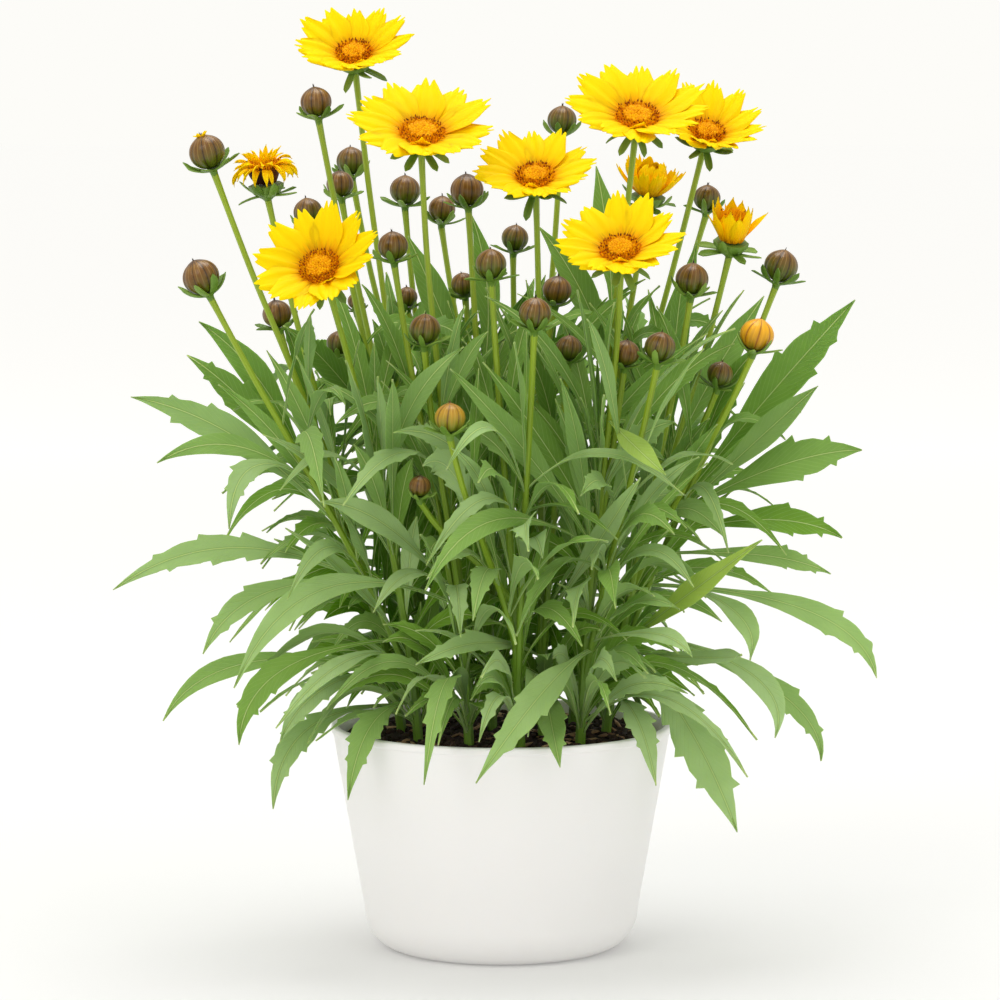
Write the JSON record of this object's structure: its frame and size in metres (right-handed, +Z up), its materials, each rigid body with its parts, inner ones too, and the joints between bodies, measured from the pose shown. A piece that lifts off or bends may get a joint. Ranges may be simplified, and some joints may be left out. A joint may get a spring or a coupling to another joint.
{
  "type": "potted tickseed plant",
  "caption": "Clump of upright leafy shoots with toothed leaves, round buds and daisy-like yellow blooms, standing in soil in a plain tapered white pot.",
  "frame": {"origin": "middle of the pot's flat foot, on the surface that it stands on", "axes": "+Z up, along the pot's axis and the stems; +X to the right and +Y away from the viewer in the reference view"},
  "size_m": [0.3274, 0.2358, 0.4102],
  "materials": {
    "pot_white": "satin",
    "soil_brown": "matte",
    "leaf_green": "satin",
    "petal_yellow": "satin",
    "petal_orange": "satin",
    "disc_orange": "matte",
    "bud_brown": "satin",
    "bud_lime": "satin"
  },
  "bodies": {
    "root": {"bloom_far_right_disc": "disc_orange", "bloom_far_right_petals": "petal_yellow", "bloom_high_left_disc": "disc_orange", "bloom_high_left_petals": "petal_yellow", "bloom_high_right_disc": "disc_orange", "bloom_high_right_petals": "petal_yellow", "bloom_left_disc": "disc_orange", "bloom_left_petals": "petal_yellow", "bloom_middle_disc": "disc_orange", "bloom_middle_petals": "petal_yellow", "bloom_right_disc": "disc_orange", "bloom_right_petals": "petal_yellow", "bloom_top_disc": "disc_orange", "bloom_top_petals": "petal_yellow", "bud_01": "bud_brown", "bud_02": "bud_brown", "bud_03": "bud_brown", "bud_04": "bud_brown", "bud_05": "bud_brown", "bud_06": "bud_brown", "bud_07": "bud_brown", "bud_08": "bud_brown", "bud_09": "bud_brown", "bud_10": "bud_brown", "bud_11": "bud_brown", "bud_15": "bud_brown", "bud_17": "bud_brown", "bud_18": "bud_brown", "bud_19": "bud_brown", "bud_20": "bud_brown", "bud_21": "bud_brown", "bud_22": "bud_brown", "bud_23": "bud_brown", "bud_24": "bud_brown", "bud_25": "bud_brown", "bud_26": "bud_brown", "bud_27": "bud_brown", "bud_28": "bud_brown", "bud_lime": "bud_lime", "bud_yellow": "petal_yellow", "faded_core": "disc_orange", "faded_petals": "petal_orange", "opening_back_core": "disc_orange", "opening_back_petals": "petal_orange", "opening_cup_core": "disc_orange", "opening_cup_petals": "petal_orange", "pot": "pot_white", "shoot_back": "leaf_green", "shoot_back_left": "leaf_green", "shoot_front": "leaf_green", "shoot_front_left": "leaf_green", "shoot_front_right": "leaf_green", "shoot_left": "leaf_green", "shoot_left_back": "leaf_green", "shoot_left_front": "leaf_green", "shoot_middle": "leaf_green", "shoot_middle_right": "leaf_green", "shoot_right": "leaf_green", "shoot_right_back": "leaf_green", "soil": "soil_brown"}
  },
  "joints": []
}
